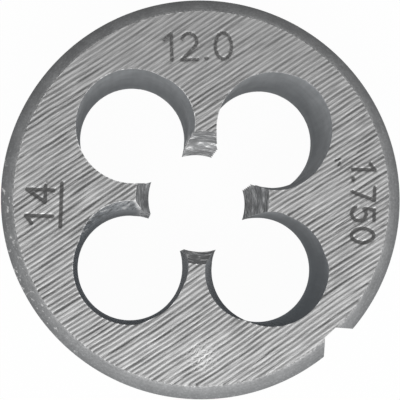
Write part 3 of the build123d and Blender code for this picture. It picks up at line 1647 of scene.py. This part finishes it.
@dataclass(frozen=True)
class GroundSteel:
    """Bright steel with the furrows of the last cut, dark in the stamped figures. The furrows'
    crests are brightened as polish and painted highlight, their valleys darkened as grime and
    painted shade.

    Painted shade darkens the face towards +Y, away from the lamp. A scuff of fine crossing
    scratches lies round its own place.
    """

    name: str = "ground_steel"
    crest: float = 0.55
    # Polish and painted highlight on the furrows' crests, also the bright streaks' level.
    polish_and_highlight: float = 0.84
    # Grime and painted shade in the furrows' valleys, also the dark streaks' level.
    valley_grime_and_shade: float = 0.1
    stamp: float = 0.1
    bright: float = 0.85
    # Painted shade towards +Y, away from the lamp.
    far_side_shade: float = 0.26
    patch_share: float = 0.7
    coolness: float = -0.01
    streaks: Grain = Grain(1.0, 3.0, 0.6, radians(-34.5), (0.4, 9.0, 1.0))
    patches: Grain = Grain(0.35)
    specks: Grain = Grain(6.0, 2.0)
    # Where the crests get polish and painted highlight, and the valleys grime and painted shade.
    crest_polish_and_highlight: Ramp = Ramp(0.3, 0.02)
    valley_grime_and_shade_mask: Ramp = Ramp(0.3, 0.82)
    dark_streak: Ramp = Ramp(0.47, 0.62, 0.0, 0.4)
    bright_streak: Ramp = Ramp(0.45, 0.34, 0.0, 0.55)
    dark_patch: Ramp = Ramp(0.3, 0.75, 0.0, 0.25)
    # How far towards +Y the painted shade reaches.
    far_side_shade_ramp: Ramp = Ramp(8.0, 14.0, 0.0, 0.3)
    stamp_specks: Ramp = Ramp(0.3, 0.7, -0.25, 0.2)
    stamp_edge: Ramp = Ramp(0.12, 0.75)
    stamp_cover: float = 0.85
    stamp_roughness: float = 0.3
    scuff: tuple[float, float, float] = (0.15, -14.9, 14.0)
    scuff_reach: Ramp = Ramp(1.9, 0.475)
    scuff_edge: Ramp = Ramp(0.5, 0.6)
    scuff_cover: float = 0.75
    steep_scratches: Grain = Grain(1.0, 2.0, turn=radians(-62), drawing=(1.2, 8.0, 1.0))
    shallow_scratches: Grain = Grain(1.0, 2.0, turn=radians(-5), drawing=(1.2, 8.0, 1.0))
    roughness: Ramp = Ramp(0.3, 0.7, 0.34, 0.48)
    relief: tuple[float, float] = (0.35, 0.00002)
    burr_highlight: BurrHighlight = BurrHighlight()

    def material(self) -> bpy.types.Material:
        """Builds the nodes.

        Returns:
            The material.
        """
        n = MaterialNodes(self.name)
        streaks = n.noise(self.streaks)
        patches = n.noise(self.patches)
        specks = n.noise(self.specks)
        furrow = n.attribute("furrow")
        dark = grey(self.crest * self.patch_share, self.coolness)
        # Painted highlight, partly polish, on the furrows' crests.
        base = n.mix(n.span(furrow, self.crest_polish_and_highlight), grey(self.crest), grey(self.polish_and_highlight))
        # Painted shade, partly grime, in the furrows' valleys.
        base = n.mix(n.span(furrow, self.valley_grime_and_shade_mask), base, grey(self.valley_grime_and_shade))
        base = n.mix(n.span(streaks, self.dark_streak), base, grey(self.valley_grime_and_shade, self.coolness))
        base = n.mix(n.span(streaks, self.bright_streak), base, grey(self.polish_and_highlight))
        base = n.mix(n.span(patches, self.dark_patch), base, dark)
        # Painted shade towards +Y, away from the lamp.
        upward = n.add("SeparateXYZ", {0: n.place()}).outputs["Y"]
        base = n.mix(n.span(upward, self.far_side_shade_ramp), base, grey(self.far_side_shade))
        struck = n.math("ADD", n.attribute("struck"), n.span(specks, self.stamp_specks))
        struck = n.span(struck, self.stamp_edge)
        base = n.mix(n.math("MULTIPLY", struck, self.stamp_cover), base, grey(self.stamp))
        scuffed = n.math("MULTIPLY", self.scuffed(n), self.scuff_cover)
        base = n.mix(scuffed, base, grey(self.bright))
        # Painted highlight along the edges, partly burr.
        base = n.mix(n.burr_highlight(self.burr_highlight), base, grey(self.bright))
        stamp_roughness = n.math("MULTIPLY", struck, self.stamp_roughness)
        rough = n.math("ADD", n.span(streaks, self.roughness), stamp_roughness)
        n.fill(Base_Color=base, Metallic=1.0, Roughness=rough)
        n.bump(streaks, *self.relief)
        return n.material

    def scuffed(self, n: MaterialNodes) -> bpy.types.NodeSocket:
        """Draws the scuff.

        Args:
            n: The material's nodes.

        Returns:
            Its strength, from 0 to 1.
        """
        gap = n.add("VectorMath", {0: n.place(), 1: self.scuff}, operation="DISTANCE")
        steep, shallow = n.noise(self.steep_scratches), n.noise(self.shallow_scratches)
        scratches = n.span(n.math("MAXIMUM", steep, shallow), self.scuff_edge)
        return n.math("MULTIPLY", scratches, n.span(gap.outputs["Value"], self.scuff_reach))


@dataclass(frozen=True)
class TurnedSteel:
    """The matt rim and its chamfers, clouded, with a few nicks on one side. Painted light
    brightens the rim towards -Y, painted shade darkens it towards +Y, and painted shade darkens
    each chamfer towards its outer edge.
    """

    name: str = "turned_steel"
    # Painted shade: the chamfer's level darkens from the inner one to the outer one.
    inner: float = 0.33
    outer: float = 0.185
    cloud: float = 0.168
    pit: float = 0.144
    fleck: float = 0.384
    ring: float = 0.156
    bright: float = 0.6
    inner_warmth: float = -0.01
    warmth: float = -0.02
    clouds: Grain = Grain(0.6, 4.0)
    grain: Grain = Grain(4.5, 4.0, 0.65)
    rings: Grain = Grain(1.0, drawing=(0.2, 0.2, 5.0))
    # Radii over which the painted shade darkens the chamfer outwards.
    chamfer: Ramp = Ramp(17.7, 18.9)
    dark_cloud: Ramp = Ramp(0.35, 0.65, 0.0, 0.35)
    dark_pit: Ramp = Ramp(0.5, 0.68, 0.0, 0.5)
    bright_fleck: Ramp = Ramp(0.45, 0.32, 0.0, 0.5)
    dark_ring: Ramp = Ramp(0.4, 0.65, 0.0, 0.3)
    # Painted light towards -Y and painted shade towards +Y, scaling the base colour.
    light_and_shade_heading: tuple[float, float, float] = (-0.17, 0.98, 0.0)
    painted_light_and_shade: Ramp = Ramp(-18.0, 18.0, 1.2, 0.74)
    nicks: Grain = Grain(1.9, 3.0, 0.6)
    nick_edge: Ramp = Ramp(0.6, 0.67)
    nicked_heading: tuple[float, float, float] = (-0.93, -0.37, 0.0)
    nicked_side: Ramp = Ramp(15.0, 17.0, 0.0, 0.8)
    nicked_height: Ramp = Ramp(12.0, 12.8)
    roughness: Ramp = Ramp(0.3, 0.7, 0.46, 0.56)
    relief: tuple[float, float] = (0.2, 0.00001)
    burr_highlight: BurrHighlight = BurrHighlight()
    burr_highlight_cover: float = 0.8

    def material(self) -> bpy.types.Material:
        """Builds the nodes.

        Returns:
            The material.
        """
        n = MaterialNodes(self.name)
        clouds = n.noise(self.clouds)
        grain = n.noise(self.grain)
        inner, outer = grey(self.inner, self.inner_warmth), grey(self.outer, self.warmth)
        # Painted shade: each chamfer darkens towards its outer edge.
        base = n.mix(n.span(n.radius(), self.chamfer), inner, outer)
        base = n.mix(n.span(clouds, self.dark_cloud), base, grey(self.cloud, self.warmth))
        base = n.mix(n.span(grain, self.dark_pit), base, grey(self.pit, self.warmth))
        base = n.mix(n.span(grain, self.bright_fleck), base, grey(self.fleck, self.warmth))
        rings = n.span(n.noise(self.rings), self.dark_ring)
        base = n.mix(rings, base, grey(self.ring, self.warmth))
        # Painted light towards -Y and painted shade towards +Y, scaling the base colour.
        painted_light_and_shade = n.span(n.towards(self.light_and_shade_heading), self.painted_light_and_shade)
        lit_and_shaded_base = n.add("VectorMath", {0: base, "Scale": painted_light_and_shade}, operation="SCALE")
        side = n.span(n.towards(self.nicked_heading), self.nicked_side)
        beside = n.math("MULTIPLY", side, n.span(n.height(), self.nicked_height))
        nicks = n.math("MULTIPLY", n.span(n.noise(self.nicks), self.nick_edge), beside)
        base = n.mix(nicks, lit_and_shaded_base.outputs[0], grey(self.bright))
        # Painted highlight along the edges, partly burr.
        burr_highlight = n.math("MULTIPLY", n.burr_highlight(self.burr_highlight), self.burr_highlight_cover)
        base = n.mix(burr_highlight, base, grey(self.bright))
        n.fill(Base_Color=base, Metallic=1.0, Roughness=n.span(clouds, self.roughness))
        n.bump(grain, *self.relief)
        return n.material


@dataclass(frozen=True)
class BoredSteel:
    """A chip hole's smooth wall with its oxide, rough and bright where it was ground.

    The oxide, with painted shade, is heavier on the holes towards -Y, whose walls in view face
    away from the lamp, and fades near the lands. Painted shade also darkens each wall deeper in
    the hole.
    """

    name: str = "bored_steel"
    # Painted shade: the wall's level deep in the hole, and its lighter level towards the front
    # face.
    level: float = 0.31
    lit_near_front: float = 0.47
    # Oxide with painted shade, also the level of the clouds and of the drawn and torn marks.
    oxide_and_shade: float = 0.17
    ground: float = 0.62
    bright: float = 0.95
    edge_tint: float = 0.12
    wall_warmth: tuple[float, float] = (-0.04, -0.03)
    oxide_warmth: float = -0.13
    cloud_warmth: float = -0.06
    drawn_warmth: float = -0.05
    torn_warmth: float = -0.02
    ground_warmth: float = -0.01
    clouds: Grain = Grain(0.4)
    drawn: Grain = Grain(1.0, drawing=(2.0, 2.0, 0.15))
    torn: Grain = Grain(1.0, 4.0, 0.7, radians(-30), (1.1, 4.5, 1.1))
    # Where the oxide and painted shade lie: towards -Y, fading near the lands.
    oxide_and_shade_heading: tuple[float, float, float] = (0.35, 0.94, 0.0)
    oxide_and_shade_side: Ramp = Ramp(4.0, -9.0)
    fade_near_lands: Ramp = Ramp(6.5, 12.5, 0.3, 1.0)
    # Painted shade: the heights over which the wall lightens towards the front face.
    rise: Ramp = Ramp(3.0, 11.8)
    dark_cloud: Ramp = Ramp(0.35, 0.7, 0.0, 0.3)
    dark_drawn: Ramp = Ramp(0.4, 0.8, 0.0, 0.25)
    dark_torn: Ramp = Ramp(0.48, 0.4, 0.0, 0.8)
    bright_torn: Ramp = Ramp(0.53, 0.62)
    # Painted highlight, partly bare ground metal, on the ground relief's edges.
    edge_highlight: Ramp = Ramp(0.5, 0.9)
    edge_highlight_cover: float = 0.85
    metallic: float = 0.7
    specular: float = 0.2
    roughness: float = 0.6
    relief: tuple[float, float] = (0.6, 0.0001)
    burr_highlight: BurrHighlight = BurrHighlight(Grain(3.5, 2.0))

    def material(self) -> bpy.types.Material:
        """Builds the nodes.

        Returns:
            The material.
        """
        n = MaterialNodes(self.name)
        # Oxide with painted shade on the holes towards -Y, whose walls in view face away from the
        # lamp.
        oxide_and_shade_share = n.span(n.towards(self.oxide_and_shade_heading), self.oxide_and_shade_side)
        oxide_and_shade_share = n.math("MULTIPLY", oxide_and_shade_share, n.span(n.radius(), self.fade_near_lands))
        low, high = self.wall_warmth
        # Painted shade deeper in the hole, lighter towards the front face.
        walls = (grey(self.level, low), grey(self.lit_near_front, high))
        base = n.mix(n.span(n.height(), self.rise), *walls)
        base = n.mix(oxide_and_shade_share, base, grey(self.oxide_and_shade, self.oxide_warmth))
        clouds = n.span(n.noise(self.clouds), self.dark_cloud)
        base = n.mix(clouds, base, grey(self.oxide_and_shade, self.cloud_warmth))
        drawn = n.span(n.noise(self.drawn), self.dark_drawn)
        base = n.mix(drawn, base, grey(self.oxide_and_shade, self.drawn_warmth))
        torn = n.noise(self.torn)
        ground = n.attribute("ground")
        dark = n.math("MULTIPLY", ground, n.span(torn, self.dark_torn))
        base = n.mix(dark, base, grey(self.oxide_and_shade, self.torn_warmth))
        bright = n.math("MULTIPLY", ground, n.span(torn, self.bright_torn))
        base = n.mix(bright, base, grey(self.ground, self.ground_warmth))
        # Painted highlight along the ground relief's edges, partly bare metal, with the burr
        # highlight.
        edge = n.math("MULTIPLY", n.span(n.attribute("rim"), self.edge_highlight), ground)
        edge = n.math("MAXIMUM", edge, n.burr_highlight(self.burr_highlight))
        base = n.mix(n.math("MULTIPLY", edge, self.edge_highlight_cover), base, grey(self.bright))
        n.fill(Base_Color=base, Metallic=self.metallic, Roughness=self.roughness)
        n.fill(Specular_IOR_Level=self.specular, Specular_Tint=grey(self.edge_tint))
        n.bump(n.math("MULTIPLY", torn, ground), *self.relief)
        return n.material


@dataclass(frozen=True)
class CutThread:
    """The thread's flanks and lead cones, torn in streaks along the thread.

    They are rougher on the lands that lie along Y than on those along X.
    """

    name: str = "cut_thread"
    dark_ring: float = 0.165
    bright_ring: float = 0.375
    patch: float = 0.15
    rough: float = 0.54
    torn: float = 0.9
    warmth: float = -0.02
    rings: Grain = Grain(1.0, 4.0, 0.65, drawing=(0.8, 0.8, 4.5))
    patches: Grain = Grain(1.0, 2.0, drawing=(1.0, 1.0, 1.6))
    ring_edge: Ramp = Ramp(0.4, 0.6)
    dark_patch: Ramp = Ramp(0.46, 0.36, 0.0, 0.5)
    rough_side: Ramp = Ramp(-1.0, 1.0)
    rough_cover: float = 0.14
    streak_rings: Ramp = Ramp(0.53, 0.61)
    streak_patches: Ramp = Ramp(0.44, 0.54)
    streak_side: Ramp = Ramp(0.0, 1.0, 0.25, 1.0)
    metallic: float = 0.5
    specular: float = 0.3
    roughness: float = 0.6
    relief: tuple[float, float] = (0.5, 0.00006)
    burr_highlight: BurrHighlight = BurrHighlight()
    burr_highlight_cover: float = 0.6

    def material(self) -> bpy.types.Material:
        """Builds the nodes.

        Returns:
            The material.
        """
        n = MaterialNodes(self.name)
        rings = n.noise(self.rings)
        patches = n.noise(self.patches)
        ends = (grey(self.dark_ring, self.warmth), grey(self.bright_ring, self.warmth))
        base = n.mix(n.span(rings, self.ring_edge), *ends)
        base = n.mix(n.span(patches, self.dark_patch), base, grey(self.patch, self.warmth))
        parts = n.add("SeparateXYZ", {0: n.place()}).outputs
        sides = [n.math("ABSOLUTE", parts[axis]) for axis in ("Y", "X")]
        rough = n.span(n.math("SUBTRACT", *sides), self.rough_side)
        base = n.mix(n.math("MULTIPLY", rough, self.rough_cover), base, grey(self.rough))
        torn_patches = n.span(patches, self.streak_patches)
        streaks = n.math("MULTIPLY", n.span(rings, self.streak_rings), torn_patches)
        streaks = n.math("MULTIPLY", streaks, n.span(rough, self.streak_side))
        base = n.mix(streaks, base, grey(self.torn))
        # Painted highlight along the edges, partly burr, in the torn streaks' bright level.
        burr_highlight = n.math("MULTIPLY", n.burr_highlight(self.burr_highlight), self.burr_highlight_cover)
        base = n.mix(burr_highlight, base, grey(self.torn))
        n.fill(Base_Color=base, Metallic=self.metallic, Roughness=self.roughness)
        n.fill(Specular_IOR_Level=self.specular)
        n.bump(rings, *self.relief)
        return n.material


FINISHES: dict[Zone, GroundSteel | TurnedSteel | BoredSteel | CutThread] = {
    Zone.FACE: GroundSteel(),
    Zone.RIM: TurnedSteel(),
    Zone.CHIP_HOLE: BoredSteel(),
    Zone.THREAD: CutThread(),
}


@dataclass
class Die:
    """The whole die, one piece of steel.

    The furrows run past the flat of each face by the spare reach. Those of the back face have a
    direction of their own, and no figures.
    """

    form: DieForm
    numbers: tuple[StampedNumber, ...] = (
        StampedNumber("12.0", (-3.8, 12.95), radians(2.5), gap=0.78, force=0.74),
        StampedNumber("1.750", (14.2, 3.55), radians(-90.5), height=2.15, gap=0.72, force=0.88),
        StampedNumber("14", (-14.05, -2.7), radians(89), gap=1.15, underlined=True),
    )
    nicks: tuple[Nick, ...] = (
        Nick(((12.55, 3.75), (13.0, 3.95))),
        Nick(((12.85, 3.3), (13.0, 3.6))),
    )
    spare_reach: float = 0.5
    back_direction: float = radians(-31.5)
    front_seed: int = 7
    back_seed: int = 23

    def build(self) -> bpy.types.Object:
        """Builds the die's skin and dresses each zone.

        Returns:
            The die.
        """
        form = self.form
        reach = form.face_radius + self.spare_reach
        marks = {
            Side.FRONT: ToolMarks(reach, self.front_seed, numbers=self.numbers, nicks=self.nicks),
            Side.BACK: ToolMarks(reach, self.back_seed, self.back_direction),
        }
        lands = [Land(form, number, marks) for number in range(form.land_count)]
        pairs = zip(lands, lands[1:] + lands[:1])
        holes = [ChipHole(form, number, *pair, marks) for number, pair in enumerate(pairs)]
        rim = Rim(form, marks)
        skin = Skin()
        for part in [*lands, *holes, rim]:
            part.add_to(skin)
        for side in Side:
            GroundFace(form, side, marks[side], rim, lands, holes).add_to(skin)
        mesh = skin.mesh("die_skin")
        die = bpy.data.objects.new("die_skin", mesh)
        bpy.context.scene.collection.objects.link(die)
        for zone in Zone:
            mesh.materials.append(FINISHES[zone].material())
        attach(die, BODY)
        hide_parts(NODE)
        LOG.info("die: %d points, %d triangles", len(mesh.vertices), len(mesh.polygons))
        return die


@dataclass
class Studio:
    """A white table, soft lamps and the camera that looks down on the die.

    The camera's place and target are in millimetres from the middle of the front face. The
    lamp and the table are in metres.
    """

    thickness: float
    camera_place: tuple[float, float, float] = (-7.445, -7.468, 129.32)
    camera_target: tuple[float, float] = (-0.249, -0.238)
    camera_roll: float = 0.01476
    focal_length: float = 124.02
    sensor_width: float = 36.0
    clip_start: float = 0.005
    floor_reach: float = 2.0
    floor_level: float = 0.82
    floor_roughness: float = 0.8
    floor_glow: float = 0.97
    sky_behind: float = 0.22
    sky_in_front: float = 1.25
    sky_heading: tuple[float, float, float] = (0.1, -0.99, 0.1)
    backdrop_rise: float = 0.148
    lamp_size: tuple[float, float] = (0.5, 0.3)
    lamp_energy: float = 1.0
    lamp_place: tuple[float, float, float] = (0.0, -0.35, 0.4)
    lamp_target: tuple[float, float, float] = (0.0, 0.0, 0.007)

    def build(self) -> None:
        """Builds the floor, the light and the camera."""
        self.add_floor()
        self.add_sky()
        self.add_lamp()
        self.add_camera()
        bpy.context.scene.view_settings.view_transform = "Standard"

    def add_floor(self) -> None:
        """Adds a wide floor that shows white, with a faint shadow."""
        reach = self.floor_reach
        corners = [(x * reach, y * reach, 0) for x, y in ((-1, -1), (1, -1), (1, 1), (-1, 1))]
        mesh = bpy.data.meshes.new("floor")
        mesh.from_pydata(corners, [], [(0, 1, 2, 3)])
        floor = bpy.data.objects.new("floor", mesh)
        bpy.context.scene.collection.objects.link(floor)
        n = MaterialNodes("white_table")
        n.fill(Base_Color=grey(self.floor_level), Roughness=self.floor_roughness)
        glow = n.add("Emission", {"Color": grey(1.0), "Strength": 1.0})
        share = n.math("MULTIPLY", n.seen(), self.floor_glow)
        blend = n.add("MixShader", {0: share, 1: n.shader.outputs[0], 2: glow.outputs[0]})
        n.feed(n.output.inputs["Surface"], blend.outputs[0])
        mesh.materials.append(n.material)

    def add_sky(self) -> None:
        """Adds a soft sky, brighter towards the front, over a low white backdrop."""
        world = bpy.data.worlds.new("studio_air")
        bpy.context.scene.world = world
        world.use_nodes = True
        n = Nodes(world.node_tree)
        heading = n.add("TexCoord").outputs["Generated"]
        facing = n.add("VectorMath", {0: heading, 1: self.sky_heading}, operation="DOT_PRODUCT")
        levels = {"To Min": self.sky_behind, "To Max": self.sky_in_front}
        ends = {"From Min": -1.0, "From Max": 1.0, **levels, "Value": facing.outputs["Value"]}
        sky = n.add("MapRange", ends, interpolation_type="SMOOTHSTEP").outputs["Result"]
        rise = n.add("SeparateXYZ", {0: heading}).outputs["Z"]
        backdrop = n.math("MULTIPLY", n.math("LESS_THAN", rise, self.backdrop_rise), n.seen())
        background = world.node_tree.nodes["Background"]
        background.inputs["Color"].default_value = grey(1.0)
        n.feed(background.inputs["Strength"], n.math("MAXIMUM", sky, backdrop))

    def add_lamp(self) -> None:
        """Adds a wide soft lamp in front of the die."""
        lamp = bpy.data.lights.new("front_lamp", "AREA")
        lamp.shape = "RECTANGLE"
        lamp.size, lamp.size_y = self.lamp_size
        lamp.energy = self.lamp_energy
        holder = bpy.data.objects.new("front_lamp", lamp)
        holder.location = self.lamp_place
        aim = Vector(self.lamp_target) - holder.location
        holder.rotation_euler = aim.to_track_quat("-Z", "Y").to_euler()
        bpy.context.scene.collection.objects.link(holder)

    def add_camera(self) -> None:
        """Adds the camera above the die, a little towards its lower left."""
        lens = bpy.data.cameras.new("camera")
        lens.lens = self.focal_length
        lens.sensor_width = self.sensor_width
        lens.clip_start = self.clip_start
        camera = bpy.data.objects.new("camera", lens)
        bpy.context.scene.collection.objects.link(camera)
        x, y, rise = self.camera_place
        place = Vector((x, y, rise + self.thickness)) * MM
        target = Vector((*self.camera_target, self.thickness)) * MM
        ahead = (target - place).normalized()
        level = ahead.cross(Vector((0, 1, 0))).normalized()
        upward = level.cross(ahead)
        across = cos(self.camera_roll) * level + sin(self.camera_roll) * upward
        upright = cos(self.camera_roll) * upward - sin(self.camera_roll) * level
        matrix = Matrix((across, upright, -ahead)).transposed().to_4x4()
        camera.matrix_world = Matrix.Translation(place) @ matrix
        bpy.context.scene.camera = camera


def main() -> None:
    """Loads the frame, builds the die and the studio, and notes both sizes."""
    logging.basicConfig(level=logging.INFO, format="%(name)s: %(message)s")
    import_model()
    form = DieForm.from_frame()
    LOG.info("body %.2f mm across, %.2f mm thick", 2 * form.body_radius, form.thickness)
    Die(form).build()
    Studio(form.thickness).build()


if __name__ == "__main__":
    main()
